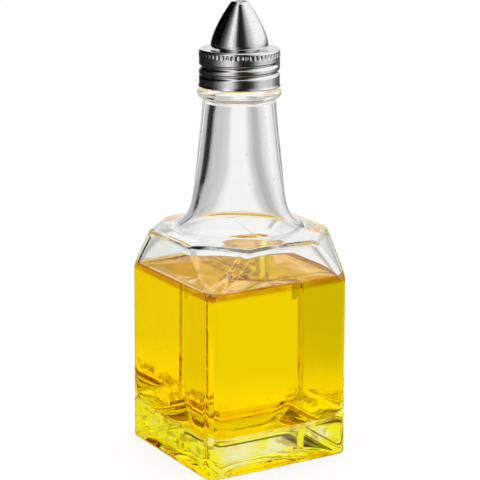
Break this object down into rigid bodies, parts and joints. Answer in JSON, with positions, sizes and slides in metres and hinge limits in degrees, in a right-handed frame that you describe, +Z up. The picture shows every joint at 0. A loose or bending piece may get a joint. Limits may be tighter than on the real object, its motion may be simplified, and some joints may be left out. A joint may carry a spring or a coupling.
{
  "type": "oil and vinegar cruet",
  "caption": "Square clear glass table cruet with corner facets and a round neck, holding yellow oil, closed by a polished metal screw cap with an open pouring cone.",
  "frame": {"origin": "middle of the base, on the plane that the bottle stands on", "axes": "+Z up along the axis of the neck, cap and cone; X and Y square to the flat sides of the body"},
  "size_m": [0.06, 0.06, 0.167],
  "materials": {
    "clear_glass": "gloss",
    "oil": "gloss",
    "liner": "matte",
    "steel": "polished"
  },
  "bodies": {
    "bottle": {"glass_bottle": "clear_glass", "oil_fill": "oil"},
    "liner": {"seal_ring": "liner"},
    "cap": {"screw_cap": "steel", "pour_spout": "steel"}
  },
  "joints": [
    {"name": "cap_rise", "type": "slide", "parent": "bottle", "child": "liner", "axis": [0, 0, 1], "range_m": [0, 0.00397]},
    {"name": "cap_twist", "type": "hinge", "parent": "liner", "child": "cap", "pos_m": [0, 0, 0.15], "axis": [0, 0, 1], "range_deg": [0, 450]}
  ],
  "couplings": [
    {"joint": "cap_twist", "follows": "cap_rise", "rad_per_m": 1979}
  ]
}
